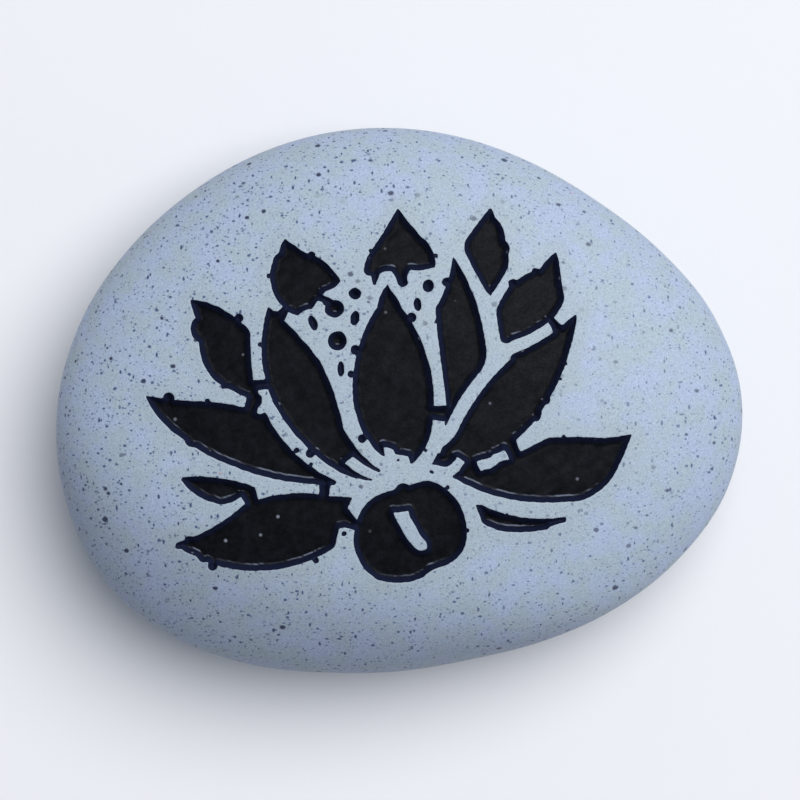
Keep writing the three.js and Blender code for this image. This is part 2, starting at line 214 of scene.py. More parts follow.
@dataclass
class Lotus:
    """The flower that was blasted into the stone through a stencil, seen from above, in mm.

    An outline is a list of corners (x, y, swell), counter-clockwise. The edge from a corner to
    the next is an arc that swells outwards by that much at its middle, or inwards if negative.
    """

    petals: dict[str, tuple[Corner, ...]] = field(default_factory=lambda: {
        "top": (
            (-0.4, 33.0, -0.1), (-5.2, 25.2, 0.2), (-6.2, 22.2, 0.1), (-5.8, 21.4, 0.0),
            (-5.0, 21.2, 0.0), (-4.7, 19.8, 0.15), (-4.1, 19.8, 0.0), (-3.4, 21.6, -0.2),
            (-1.5, 22.0, -0.15), (-0.5, 20.0, 0.7), (1.4, 20.0, -0.4), (1.9, 22.3, 0.0),
            (3.2, 22.1, 0.0), (6.0, 22.7, 0.2), (5.7, 25.4, 0.25), (3.7, 27.9, -0.1),
        ),
        "top_right": (
            (15.6, 33.2, 0.1), (11.8, 28.2, 0.4), (11.2, 25.2, 0.1), (14.8, 18.5, 0.0),
            (15.5, 17.8, 0.1), (18.6, 22.8, 0.1), (18.6, 25.1, 0.5), (18.1, 27.3, 0.0),
            (17.9, 28.8, 0.0), (17.3, 30.5, 0.0), (16.4, 31.4, 0.0),
        ),
        "upper_left": (
            (-19.8, 27.7, 0.2), (-20.7, 25.4, 0.0), (-21.4, 24.8, 0.1), (-21.9, 23.6, 1.0),
            (-20.5, 16.4, 0.3), (-17.4, 14.4, -0.3), (-15.1, 15.5, -0.1), (-12.7, 18.6, 0.3),
            (-10.2, 20.3, 0.85), (-16.1, 25.2, 0.0),
        ),
        "left_upper": (
            (-36.1, 17.3, 0.1), (-35.1, 14.2, 1.15), (-34.5, 9.9, 0.45), (-32.6, 4.3, 0.1),
            (-30.7, 2.6, 0.0), (-30.5, 1.9, 0.0), (-29.4, 2.0, 0.1), (-26.2, 0.4, 0.0),
            (-24.9, 1.6, -0.15), (-25.6, 11.2, 0.25), (-27.1, 13.1, 0.88),
        ),
        "left_inner": (
            (-22.6, 16.0, 1.6), (-21.6, -0.6, 0.55), (-14.3, -9.5, 1.0), (-4.2, -13.9, 0.0),
            (-3.3, -12.0, -0.65), (-9.7, -4.7, 0.45), (-13.7, 6.7, 0.4),
        ),
        "centre": (
            (-2.1, 19.8, 0.35), (-3.9, 15.9, 1.15), (-8.1, 1.5, 1.25), (-3.2, -9.5, 0.0),
            (-2.5, -9.7, 0.0), (-2.8, -8.0, 0.0), (-1.2, -8.4, 0.0), (-0.8, -9.3, 0.0),
            (1.4, -9.6, 0.0), (1.8, -11.2, 0.7), (5.5, -4.6, 2.1), (0.4, 15.7, 0.05),
        ),
        "right_inner": (
            (9.0, 24.8, -0.55), (6.1, 15.8, 0.1), (6.7, 9.0, 0.0), (7.9, -0.8, 0.0), (7.6, -3.7, 0.0),
            (7.7, -4.8, 0.0), (8.4, -3.3, -0.35), (13.8, 4.9, 0.5), (14.6, 9.3, 1.05),
        ),
        "small_right": (
            (26.8, 25.5, 0.15), (24.0, 22.5, 0.0), (23.0, 22.7, 0.1), (22.5, 22.0, 0.1),
            (20.0, 20.5, 0.0), (19.4, 20.8, 0.0), (18.6, 20.4, 0.1), (18.7, 19.5, 0.15),
            (16.5, 15.5, 0.0), (16.5, 14.6, 0.05), (17.2, 10.2, 0.1), (17.7, 9.8, 0.1),
            (18.6, 9.7, 0.0), (19.6, 10.3, 0.3), (25.4, 13.3, 0.0), (26.3, 14.0, 0.1),
            (28.0, 16.6, 0.1), (28.1, 18.1, -0.1), (27.4, 23.3, 0.1),
        ),
        "right": (
            (30.2, 14.8, 0.0), (28.6, 13.5, -0.5), (19.3, 7.9, 0.1), (18.9, 7.0, 0.75),
            (9.9, -5.1, -0.25), (7.2, -8.1, 0.0), (6.9, -9.0, 0.0), (6.4, -9.1, 0.0),
            (5.3, -11.1, -0.15), (7.6, -11.5, 0.35), (9.7, -9.8, 0.0), (11.0, -10.6, 0.0),
            (13.2, -10.5, 0.0), (15.4, -9.9, 0.0), (16.0, -9.3, 0.0), (16.7, -9.1, 0.0),
            (17.8, -8.5, 0.0), (20.0, -6.7, 0.05), (23.0, -3.7, 0.0), (23.7, -3.6, 0.2),
            (24.2, -1.9, 0.0), (24.9, -0.8, 0.0), (25.6, -0.5, 0.1), (25.7, 0.5, 0.0),
            (26.4, 1.7, 0.5), (30.3, 13.8, 0.0),
        ),
        "lower_right": (
            (39.9, -5.8, -0.1), (35.0, -6.5, 0.1), (25.7, -6.4, 0.1), (20.6, -8.9, 0.0),
            (18.5, -10.2, 0.1), (17.0, -10.6, 0.0), (15.4, -11.8, 0.1), (13.8, -12.1, 0.0),
            (10.2, -12.1, 0.0), (8.9, -13.0, 0.0), (9.2, -13.4, 1.05), (24.9, -17.6, 0.1),
            (31.0, -17.3, 1.05), (37.7, -11.0, 0.05),
        ),
        "lower_right_sliver": (
            (12.9, -17.9, 0.0), (14.0, -21.0, 0.4), (19.3, -22.7, 0.1), (25.2, -22.3, 0.0),
            (25.8, -21.7, 0.0), (28.5, -20.9, 0.0), (28.6, -20.0, -1.1), (14.0, -18.0, 0.0),
        ),
        "left": (
            (-43.9, 0.8, 0.8), (-37.0, -6.8, 0.0), (-36.7, -7.6, 0.1), (-36.0, -8.1, 0.0),
            (-35.0, -8.2, 0.0), (-34.1, -8.8, 1.1), (-14.9, -14.4, 0.0), (-11.3, -14.6, 0.2),
            (-10.9, -13.8, -1.25), (-22.2, -3.6, 0.1), (-23.1, -2.1, 0.0), (-24.0, -2.4, 0.0),
            (-26.7, -1.3, 0.15), (-32.0, -0.4, 0.0), (-38.3, 0.0, 0.0), (-41.0, 0.35, 0.0),
        ),
        "small_left": (
            (-37.6, -13.7, 0.0), (-36.6, -14.9, 0.65), (-30.3, -17.9, 0.2), (-27.2, -16.6, 0.0),
            (-24.7, -15.4, 0.0), (-24.8, -14.9, 0.7), (-37.2, -13.2, 0.1),
        ),
        "lower_left": (
            (-38.7, -25.2, 0.0), (-38.4, -25.6, 0.0), (-37.6, -25.6, 0.0), (-37.0, -26.1, 0.0),
            (-35.1, -26.9, 0.0), (-34.4, -27.8, 0.1), (-33.2, -27.9, 2.3), (-12.3, -26.0, 0.1),
            (-11.0, -24.8, 0.0), (-10.9, -24.0, 0.0), (-10.4, -22.0, 0.0), (-9.5, -21.8, 0.0),
            (-8.9, -18.3, 0.0), (-8.0, -16.6, 0.0), (-12.1, -16.4, 0.75), (-24.2, -17.0, 0.0),
            (-26.6, -17.8, -0.45), (-35.5, -23.5, 0.1), (-37.0, -23.6, 0.0), (-37.1, -24.1, 0.0),
            (-38.5, -24.6, 0.0),
        ),
        "bud": (
            (-7.3, -20.4, 0.0), (-7.8, -22.3, 1.45), (-4.0, -30.8, 0.75), (3.9, -30.5, 0.0),
            (5.5, -29.2, 0.0), (7.4, -28.5, 1.15), (11.5, -23.0, 0.0), (11.4, -21.7, 1.6),
            (5.0, -13.8, 0.15), (1.5, -14.6, 0.55), (-0.7, -15.0, 0.0), (-1.3, -15.5, 1.15),
        ),
    })
    # Short necks where one petal's cut runs into the next.
    necks: tuple[tuple[tuple[float, float], ...], ...] = (
        (
            (-25.2, 3.4), (-25.2, 1.7), (-22.2, 1.8), (-22.2, 3.5),
        ),
        (
            (-26.3, 0.4), (-26.7, -1.5), (-24.5, -2.2), (-24.2, -1.3), (-23.6, -0.6), (-23.6, 0.5),
            (-24.2, 1.2), (-24.3, 1.8), (-25.1, 1.9),
        ),
        (
            (-20.1, 16.0), (-20.9, 15.2), (-22.0, 15.2), (-21.5, 14.0), (-19.8, 13.3), (-19.6, 14.0),
            (-19.0, 15.2),
        ),
        (
            (-13.3, 18.1), (-14.2, 17.0), (-13.3, 16.8), (-12.9, 16.1), (-11.5, 17.1),
        ),
        (
            (5.2, -1.1), (5.2, -3.4), (7.7, -3.7), (8.1, -0.9),
        ),
        (
            (25.3, 13.3), (25.6, 12.9), (26.3, 11.4), (27.8, 12.8), (26.2, 14.2),
        ),
        (
            (18.7, -10.3), (20.7, -8.9), (20.3, -8.1), (19.8, -6.8), (17.8, -8.4), (18.3, -9.2),
        ),
        (
            (10.0, -12.4), (14.0, -12.4), (13.6, -11.7), (13.05, -10.7), (13.3, -10.2), (10.9, -10.2),
            (11.0, -10.8), (10.4, -11.5),
        ),
        (
            (-13.8, -14.2), (-13.8, -16.6), (-12.1, -16.6), (-11.9, -14.4),
        ),
        (
            (-27.2, -16.6), (-26.4, -18.1), (-24.0, -17.4), (-24.4, -16.6), (-24.7, -15.2),
        ),
        (
            (-9.0, -18.5), (-10.2, -21.9), (-9.5, -21.8), (-8.7, -22.1), (-7.2, -22.4), (-6.9, -20.5),
            (-7.45, -20.4),
        ),
    )
    # Separate small pits: x, y, half-width along x, half-width along y, turn in degrees.
    pits: tuple[tuple[float, ...], ...] = (
        (-7.7, 18.2, 1.1, 1.0, 0.0), (-11.2, 15.6, 1.65, 1.5, 0.0), (-14.9, 13.15, 0.75, 1.35, 20.0),
        (-10.7, 10.1, 1.65, 1.65, 0.0), (-7.7, 14.0, 0.8, 1.3, -12.0), (-10.1, 5.3, 0.6, 1.35, 0.0),
        (4.85, 19.5, 0.95, 1.1, 0.0), (3.0, 16.35, 0.7, 1.15, 8.0), (5.4, -12.3, 0.5, 0.3, -40.0),
        (-0.35, -10.3, 0.3, 0.3, 0.0),
    )
    # Round nicks where the grit got under the stencil's edge: x, y, radius.
    nicks: tuple[tuple[float, float, float], ...] = (
        (-27.6, 14.0, 0.78), (-15.2, 24.8, 0.7), (-22.5, 21.3, 0.42), (-24.0, 9.5, 0.42),
        (-15.3, -9.1, 0.8), (-5.0, 25.6, 0.35), (6.1, 24.7, 0.4), (-7.6, 8.5, 0.9), (-8.4, 4.4, 0.6),
        (-6.5, -6.6, 0.77), (4.4, -8.6, 0.35), (2.0, 14.15, 0.85), (7.9, 20.2, 0.75),
        (6.05, 13.3, 0.3), (28.4, 6.2, 0.3), (27.5, 3.6, 0.3), (28.0, -6.3, 0.35), (18.3, -19.7, 0.35),
        (11.5, -22.35, 0.4), (8.1, -14.95, 0.4), (-39.7, 0.3, 1.0), (-33.0, -0.2, 0.45),
        (-17.7, -8.6, 0.5), (-15.2, -11.0, 0.35), (-14.4, -27.5, 0.55), (-32.2, -28.5, 0.85),
        (-9.6, -22.9, 0.45),
    )
    # Stone left standing in the cuts: the stigma in the bud, and a tongue in a petal's root.
    standing: dict[str, tuple[Corner, ...]] = field(default_factory=lambda: {
        "stigma": (
            (-1.1, -19.2, 0.3), (2.5, -25.3, 0.35), (4.5, -25.6, 0.1), (4.4, -24.3, -0.3),
            (1.4, -19.0, -0.1),
        ),
        "tongue": (
            (-9.5, -10.9, 0.0), (-8.6, -11.4, 0.25), (-5.0, -13.4, 0.0), (-3.8, -14.1, 0.0),
            (-2.5, -12.9, 0.0), (-6.1, -11.2, 0.0), (-8.1, -9.7, 0.0),
        ),
    })
    arc_step: float = 0.25
    far: float = 4.0
    raggedness: float = 0.018
    outlines: list[Outline] = field(init=False)

    def __post_init__(self) -> None:
        """Draws every outline and keeps the stretches that are edges of the joined cut."""
        cuts = [self._along_arcs(corners) for corners in self.petals.values()]
        cuts += [self._along_arcs([(x, y, 0.0) for x, y in neck]) for neck in self.necks]
        cuts += [self._ellipse(*pit) for pit in self.pits]
        cuts += [self._ellipse(x, y, radius, radius, 0) for x, y, radius in self.nicks]
        self.outlines = [Outline(points, EdgeRole.CUT) for points in cuts]
        for corners in self.standing.values():
            self.outlines.append(Outline(self._along_arcs(corners), EdgeRole.STANDING))
        for outline in self.outlines:
            self._keep_edges(outline)

    def _along_arcs(self, corners: tuple[Corner, ...] | list[Corner]) -> np.ndarray:
        """Draws a closed line from corner to corner.

        Args:
            corners: The line's corners with the swell of the arc after each.

        Returns:
            Points along the line, one a row.
        """
        points = []
        for i, (x, y, swell) in enumerate(corners):
            start = np.array((x, y))
            end = np.array(corners[(i + 1) % len(corners)][:2])
            chord = end - start
            length = float(np.hypot(*chord))
            outward = np.array((chord[1], -chord[0])) / length
            steps = max(1, math.ceil(length / self.arc_step))
            share = np.arange(steps) / steps
            if abs(swell) < 1e-6:
                points.extend(start + share[:, None] * chord)
                continue
            half_turn = 2 * math.atan2(2 * swell, length)
            radius = length / 2 / math.sin(half_turn)
            centre = (start + end) / 2 - outward * radius * math.cos(half_turn)
            turn = (2 * share - 1) * half_turn
            spread = outward * np.cos(turn)[:, None] + chord / length * np.sin(turn)[:, None]
            points.extend(centre + radius * spread)
        return np.array(points)

    def _ellipse(self, x: float, y: float, half_x: float, half_y: float, turn: float) -> np.ndarray:
        """Draws an ellipse.

        Args:
            x: Its middle along X.
            y: Its middle along Y.
            half_x: Its half-width along its own first axis.
            half_y: Its half-width along its own second axis.
            turn: The turn of its first axis from +X, in degrees.

        Returns:
            Points along it, one a row.
        """
        steps = max(12, math.ceil(2 * math.pi * max(half_x, half_y) / self.arc_step))
        angle = np.arange(steps) / steps * 2 * math.pi
        across, up = half_x * np.cos(angle), half_y * np.sin(angle)
        c, s = math.cos(math.radians(turn)), math.sin(math.radians(turn))
        return np.column_stack((x + c * across - s * up, y + s * across + c * up))

    def _keep_edges(self, outline: Outline) -> None:
        """Drops the stretches of an outline that another outline makes no edge.

        Args:
            outline: The outline to thin out.
        """
        middles = (outline.points + np.roll(outline.points, -1, axis=0)) / 2
        in_other_cut = np.zeros(len(middles), bool)
        in_standing = np.zeros(len(middles), bool)
        for other in self.outlines:
            if other is outline:
                continue
            inside = other.holds(middles)
            if other.role is EdgeRole.CUT:
                in_other_cut |= inside
            else:
                in_standing |= inside
        if outline.role is EdgeRole.CUT:
            kept = ~in_other_cut & ~in_standing
        else:
            kept = in_other_cut
        outline.starts = outline.starts[kept]
        outline.ends = outline.ends[kept]

    def _ragged(self, places: np.ndarray) -> np.ndarray:
        """Shifts places by a little, as the grit frays the stencil's edge.

        Args:
            places: Points seen from above, one a row.

        Returns:
            The shifted places.
        """
        rng = np.random.default_rng(SEED)
        shifted = places.copy()
        for wavelength in (0.9, 1.3, 1.9, 2.7, 3.9, 5.3):
            heading = rng.uniform(0, 2 * math.pi)
            along = places @ np.array((math.cos(heading), math.sin(heading)))
            for axis in (0, 1):
                phase = rng.uniform(0, 2 * math.pi)
                shifted[:, axis] += self.raggedness * np.sin(2 * math.pi * along / wavelength + phase)
        return shifted

    def inset(self, places: np.ndarray) -> np.ndarray:
        """Measures how far inside the cut places lie.

        Args:
            places: Points seen from above, one a row.

        Returns:
            The distance from the cut's edge, at most far, and negative outside the cut.
        """
        places = self._ragged(places)
        distance = np.full(len(places), self.far)
        in_cut = np.zeros(len(places), bool)
        in_standing = np.zeros(len(places), bool)
        for outline in self.outlines:
            low = outline.points.min(axis=0) - self.far
            high = outline.points.max(axis=0) + self.far
            near = np.flatnonzero(((places > low) & (places < high)).all(axis=1))
            for part in np.array_split(near, 1 + near.size // 4000):
                if part.size == 0:
                    continue
                if outline.role is EdgeRole.CUT:
                    in_cut[part] |= outline.holds(places[part])
                else:
                    in_standing[part] |= outline.holds(places[part])
                if len(outline.starts):
                    distance[part] = np.minimum(distance[part], outline.distance(places[part]))
        return np.where(in_cut & ~in_standing, distance, -distance)


@dataclass(frozen=True)
class Grain:
    """One kind of mineral grain that shows in the stone's skin."""

    spacing_mm: float
    radius_mm: tuple[float, float]
    share: float
    stretch: tuple[float, float, float]
    turn_deg: float
    colour: str
    strength: float


@dataclass(frozen=True)
class RiverStone:
    """Fine-grained igneous river stone, tumbled smooth by water and left matte.

    To the eye it is a pale blue-grey with small dark grains, some of them drawn out, on a
    cloudy ground. It has no polish, so it only sheens a little where it turns away.
    """

    blue_ground: str = "#a6b4cd"
    green_ground: str = "#a4b3be"
    rib_ground: str = "#a0aeb6"
    # Multiplier of the shade painted towards the lower left rim and the underside.
    painted_shade: str = "#cfcfd2"
    cloud_mm: float = 5.0
    crystal_mm: float = 0.27
    roughness: float = 0.62
    # The grains stand out least round this point, so the skin is palest here and darker out to the rim. X and Y
    # in mm.
    faint_grain_middle: tuple[float, float] = (20.0, 3.0)
    grain_fade_reach: float = 55.0
    middle_grain: float = 0.5
    rim_grain: float = 1.25
    grains: tuple[Grain, ...] = (
        Grain(0.6, (0.13, 0.24), 0.6, (1.0, 1.0, 1.0), 0, "#75849e", 0.7),
        Grain(0.9, (0.2, 0.34), 0.55, (1.0, 1.5, 1.0), 35, "#62728f", 0.85),
        Grain(1.4, (0.26, 0.46), 0.45, (1.0, 1.3, 1.0), -50, "#4d5d7e", 0.95),
        Grain(2.0, (0.3, 0.58), 0.42, (1.9, 1.0, 1.0), -15, "#3d4d70", 0.95),
        Grain(3.0, (0.45, 0.8), 0.32, (1.0, 1.25, 1.0), 60, "#2e3852", 0.95),
        Grain(7.0, (0.3, 0.6), 0.3, (1.0, 1.0, 1.0), 0, "#b08a93", 0.7),
    )

    def material(self) -> bpy.types.Material:
        """Makes the stone's material."""
        made = bpy.data.materials.new("tumbled_river_stone")
        made.use_nodes = True
        tree = made.node_tree
        tree.nodes.clear()
        place = add_node(tree, "TexCoord").outputs["Object"]
        ground = self._ground(tree, place)
        colour = self._with_grains(tree, place, ground, self._boldness(tree, place))
        # Painted shade: the skin is darkened towards the lower left rim and the underside.
        colour = self._with_painted_shade(tree, place, colour)
        shader = add_node(tree, "BsdfPrincipled", {
            "Base Color": colour,
            "Roughness": self.roughness,
            "Normal": self._relief(tree, place),
        })
        add_node(tree, "OutputMaterial", {"Surface": shader.outputs["BSDF"]})
        return made

    def _ground(self, tree: bpy.types.NodeTree, place: bpy.types.NodeSocket) -> bpy.types.NodeSocket:
        """Mixes the cloudy ground colour and its fine crystals.

        Args:
            tree: The material's nodes.
            place: The place on the stone.

        Returns:
            The ground's colour.
        """
        clouds = add_node(tree, "TexNoise", {
            "Vector": place, "Scale": 1 / (self.cloud_mm * MM), "Detail": 3.0, "Roughness": 0.6,
        })
        share = add_node(tree, "MapRange", {
            "Value": clouds.outputs["Fac"], "From Min": 0.38, "From Max": 0.62,
        })
        ground = add_node(tree, "Mix", {
            MIX_FACTOR: share.outputs["Result"],
            MIX_FIRST: srgb(self.blue_ground),
            MIX_SECOND: srgb(self.green_ground),
        }, data_type="RGBA")
        inset = add_node(tree, "Attribute", attribute_name="inset")
        rib = add_node(tree, "MapRange", {
            "Value": inset.outputs["Fac"], "From Min": -3.5, "From Max": -0.8, "To Max": 0.7,
        }, interpolation_type="SMOOTHSTEP")
        tinted = add_node(tree, "Mix", {
            MIX_FACTOR: rib.outputs["Result"],
            MIX_FIRST: ground.outputs[MIX_RESULT],
            MIX_SECOND: srgb(self.rib_ground),
        }, data_type="RGBA")
        crystals = add_node(tree, "TexNoise", {
            "Vector": place, "Scale": 1 / (self.crystal_mm * MM), "Detail": 2.0, "Roughness": 0.7,
        })
        shade = add_node(tree, "MapRange", {
            "Value": crystals.outputs["Fac"], "From Min": 0.3, "From Max": 0.7,
            "To Min": 0.78, "To Max": 1.16,
        })
        shaded = add_node(tree, "Mix", {
            MIX_FACTOR: 1.0,
            MIX_FIRST: tinted.outputs[MIX_RESULT],
            MIX_SECOND: shade.outputs["Result"],
        }, data_type="RGBA", blend_type="MULTIPLY")
        return shaded.outputs[MIX_RESULT]

    def _boldness(self, tree: bpy.types.NodeTree, place: bpy.types.NodeSocket) -> bpy.types.NodeSocket:
        """Tells how boldly the grains show: least round the palest point, most near the rim.

        Args:
            tree: The material's nodes.
            place: The place on the stone.

        Returns:
            The factor of the grains' strength.
        """
        flat = add_node(tree, "VectorMath", {0: place, 1: (1.0, 1.0, 0.0)}, operation="MULTIPLY")
        away = add_node(tree, "VectorMath", {
            0: flat.outputs["Vector"],
            1: (self.faint_grain_middle[0] * MM, self.faint_grain_middle[1] * MM, 0.0),
        }, operation="DISTANCE")
        return add_node(tree, "MapRange", {
            "Value": away.outputs["Value"],
            "From Min": 0.2 * self.grain_fade_reach * MM,
            "From Max": self.grain_fade_reach * MM,
            "To Min": self.middle_grain,
            "To Max": self.rim_grain,
        }).outputs["Result"]

    def _with_painted_shade(
        self, tree: bpy.types.NodeTree, place: bpy.types.NodeSocket, colour: bpy.types.NodeSocket,
    ) -> bpy.types.NodeSocket:
        """Paints shade into the skin towards the lower left rim and the underside, away from the key.

        Args:
            tree: The material's nodes.
            place: The place on the stone.
            colour: The colour so far.

        Returns:
            The weathered colour.
        """
        down_left = add_node(tree, "VectorMath", {
            0: place, 1: (-0.3 / MM, -0.8 / MM, -0.9 / MM),
        }, operation="DOT_PRODUCT")
        share = add_node(tree, "MapRange", {
            "Value": down_left.outputs["Value"], "From Min": -12.0, "From Max": 10.0, "To Max": 0.85,
        }, interpolation_type="SMOOTHSTEP")
        darkened = add_node(tree, "Mix", {
            MIX_FACTOR: share.outputs["Result"], MIX_FIRST: colour, MIX_SECOND: srgb(self.painted_shade),
        }, data_type="RGBA", blend_type="MULTIPLY")
        return darkened.outputs[MIX_RESULT]

    def _with_grains(
        self,
        tree: bpy.types.NodeTree,
        place: bpy.types.NodeSocket,
        colour: bpy.types.NodeSocket,
        boldness: bpy.types.NodeSocket,
    ) -> bpy.types.NodeSocket:
        """Lays each kind of grain over the ground.

        Args:
            tree: The material's nodes.
            place: The place on the stone.
            colour: The ground's colour.
            boldness: The factor of the grains' strength.

        Returns:
            The colour with the grains in it.
        """
        fray = add_node(tree, "TexNoise", {"Vector": place, "Scale": 1 / (0.55 * MM), "Detail": 2.0})
        frayed = add_node(tree, "VectorMath", {
            0: fray.outputs["Color"], 1: (0.3 * MM,) * 3, 2: place,
        }, operation="MULTIPLY_ADD")
        for kind in self.grains:
            turned = add_node(tree, "Mapping", {
                "Vector": frayed.outputs["Vector"],
                "Rotation": (0.0, 0.0, math.radians(kind.turn_deg)),
                "Scale": kind.stretch,
            })
            cells = add_node(tree, "TexVoronoi", {
                "Vector": turned.outputs["Vector"], "Scale": 1 / (kind.spacing_mm * MM),
            })
            chance = add_node(tree, "SeparateColor", {"Color": cells.outputs["Color"]})
            radius = add_node(tree, "MapRange", {
                "Value": chance.outputs["Red"],
                "To Min": kind.radius_mm[0] / kind.spacing_mm,
                "To Max": kind.radius_mm[1] / kind.spacing_mm,
            })
            core = add_node(tree, "Math", {0: radius.outputs["Result"], 1: 0.5}, operation="MULTIPLY")
            mask = add_node(tree, "MapRange", {
                "Value": cells.outputs["Distance"],
                "From Min": core.outputs["Value"],
                "From Max": radius.outputs["Result"],
                "To Min": 1.0,
                "To Max": 0.0,
            }, interpolation_type="SMOOTHSTEP")
            present = add_node(tree, "MapRange", {
                "Value": chance.outputs["Green"],
                "From Min": kind.share,
                "From Max": 0.6 * kind.share,
                "To Min": 0.0,
                "To Max": kind.strength,
            })
            shown = add_node(tree, "Math", {
                0: mask.outputs["Result"], 1: present.outputs["Result"],
            }, operation="MULTIPLY")
            strength = add_node(tree, "Math", {
                0: shown.outputs["Value"], 1: boldness,
            }, operation="MULTIPLY", use_clamp=True)
            laid = add_node(tree, "Mix", {
                MIX_FACTOR: strength.outputs["Value"],
                MIX_FIRST: colour,
                MIX_SECOND: srgb(kind.colour),
            }, data_type="RGBA")
            colour = laid.outputs[MIX_RESULT]
        return colour

    def _relief(self, tree: bpy.types.NodeTree, place: bpy.types.NodeSocket) -> bpy.types.NodeSocket:
        """Makes the fine grain that is felt on the tumbled skin.

        Args:
            tree: The material's nodes.
            place: The place on the stone.

        Returns:
            The bumped normal.
        """
        grit = add_node(tree, "TexNoise", {
            "Vector": place, "Scale": 1 / (0.5 * MM), "Detail": 3.0, "Roughness": 0.6,
        })
        bump = add_node(tree, "Bump", {
            "Height": grit.outputs["Fac"], "Strength": 0.35, "Distance": 0.1 * MM,
        })
        return bump.outputs["Normal"]


@dataclass(frozen=True)
class BlastedPaint:
    """Black enamel sprayed into the grit-blasted cut through the same stencil.

    To the eye it is nearly black with a dull gloss, broken up by the blasted grain under it,
    with sparse pale dots, partly crystals showing through and partly painted glints.
    """

    black: str = "#090a0e"
    dusty: str = "#14161c"
    # Painted highlight: the pale line at the foot of the walls that face up the flower.
    painted_highlight: str = "#6a7182"
    # Painted reflection of the sky on the cut's walls.
    painted_reflection: str = "#1a2038"
    crystal_and_glint: str = "#8a8f9c"
    grain_mm: float = 0.42
    crystal_and_glint_spacing_mm: float = 3.0
    specular: float = 0.06

    def material(self) -> bpy.types.Material:
        """Makes the paint's material."""
        made = bpy.data.materials.new("black_stencil_enamel")
        made.use_nodes = True
        tree = made.node_tree
        tree.nodes.clear()
        place = add_node(tree, "TexCoord").outputs["Object"]
        dust = add_node(tree, "TexNoise", {
            "Vector": place, "Scale": 1 / (1.6 * MM), "Detail": 4.0, "Roughness": 0.65,
        })
        dusted = add_node(tree, "MapRange", {
            "Value": dust.outputs["Fac"], "From Min": 0.4, "From Max": 0.7,
        })
        ground = add_node(tree, "Mix", {
            MIX_FACTOR: dusted.outputs["Result"],
            MIX_FIRST: srgb(self.black),
            MIX_SECOND: srgb(self.dusty),
        }, data_type="RGBA")
        ground = self._on_walls(tree, place, ground.outputs[MIX_RESULT])
        cells = add_node(tree, "TexVoronoi", {
            "Vector": place, "Scale": 1 / (self.crystal_and_glint_spacing_mm * MM),
        })
        chance = add_node(tree, "SeparateColor", {"Color": cells.outputs["Color"]})
        spot = add_node(tree, "MapRange", {
            "Value": cells.outputs["Distance"], "From Min": 0.05, "From Max": 0.13,
            "To Min": 1.0, "To Max": 0.0,
        })
        shown = add_node(tree, "MapRange", {
            "Value": chance.outputs["Red"], "From Min": 0.35, "From Max": 0.0,
            "To Min": 0.0, "To Max": 0.8,
        })
        strength = add_node(tree, "Math", {
            0: spot.outputs["Result"], 1: shown.outputs["Result"],
        }, operation="MULTIPLY")
        # Pale dots on the floors: partly crystals showing through the paint, partly painted glints.
        colour = add_node(tree, "Mix", {
            MIX_FACTOR: strength.outputs["Value"],
            MIX_FIRST: ground,
            MIX_SECOND: srgb(self.crystal_and_glint),
        }, data_type="RGBA")
        grain = add_node(tree, "TexNoise", {
            "Vector": place, "Scale": 1 / (self.grain_mm * MM), "Detail": 2.0, "Roughness": 0.6,
        })
        gloss = add_node(tree, "MapRange", {
            "Value": grain.outputs["Fac"], "From Min": 0.35, "From Max": 0.65,
            "To Min": 0.42, "To Max": 0.58,
        })
        bump = add_node(tree, "Bump", {
            "Height": grain.outputs["Fac"], "Strength": 0.45, "Distance": 0.1 * MM,
        })
        shader = add_node(tree, "BsdfPrincipled", {
            "Base Color": colour.outputs[MIX_RESULT],
            "Roughness": gloss.outputs["Result"],
            "Specular IOR Level": self.specular,
            "Normal": bump.outputs["Normal"],
        })
        add_node(tree, "OutputMaterial", {"Surface": shader.outputs["BSDF"]})
        return made

    def _on_walls(
        self, tree: bpy.types.NodeTree, place: bpy.types.NodeSocket, colour: bpy.types.NodeSocket,
    ) -> bpy.types.NodeSocket:
        """Paints the walls navy as the sky's reflection, and paints a highlight as a pale line at their foot.

        Args:
            tree: The material's nodes.
            place: The place on the stone.
            colour: The paint's colour so far.

        Returns:
            The colour with the walls in it.
        """
        inset = add_node(tree, "Attribute", attribute_name="inset").outputs["Fac"]
        wall = add_node(tree, "MapRange", {
            "Value": inset, "From Min": 0.55, "From Max": 1.1, "To Min": 0.9, "To Max": 0.0,
        }, interpolation_type="SMOOTHSTEP")
        # Painted reflection: the walls take a navy tone in place of the sky they reflect.
        tinted = add_node(tree, "Mix", {
            MIX_FACTOR: wall.outputs["Result"], MIX_FIRST: colour, MIX_SECOND: srgb(self.painted_reflection),
        }, data_type="RGBA")
        off_line = add_node(tree, "Math", {0: inset, 1: 1.12}, operation="SUBTRACT")
        gap = add_node(tree, "Math", {0: off_line.outputs["Value"]}, operation="ABSOLUTE")
        line = add_node(tree, "MapRange", {
            "Value": gap.outputs["Value"], "From Min": 0.06, "From Max": 0.2, "To Min": 1.0, "To Max": 0.0,
        }, interpolation_type="SMOOTHSTEP")
        foot = add_node(tree, "Attribute", attribute_name="painted_highlight").outputs["Fac"]
        lower = add_node(tree, "MapRange", {"Value": foot, "From Min": 0.78, "From Max": 0.96})
        patches = add_node(tree, "TexNoise", {"Vector": place, "Scale": 1 / (4.0 * MM), "Detail": 3.0})
        highlight_breakup = add_node(tree, "MapRange", {
            "Value": patches.outputs["Fac"], "From Min": 0.42, "From Max": 0.58, "To Min": 0.1, "To Max": 0.9,
        })
        run = add_node(tree, "Math", {
            0: line.outputs["Result"], 1: lower.outputs["Result"],
        }, operation="MULTIPLY")
        share = add_node(tree, "Math", {0: run.outputs["Value"], 1: highlight_breakup.outputs["Result"]}, operation="MULTIPLY")
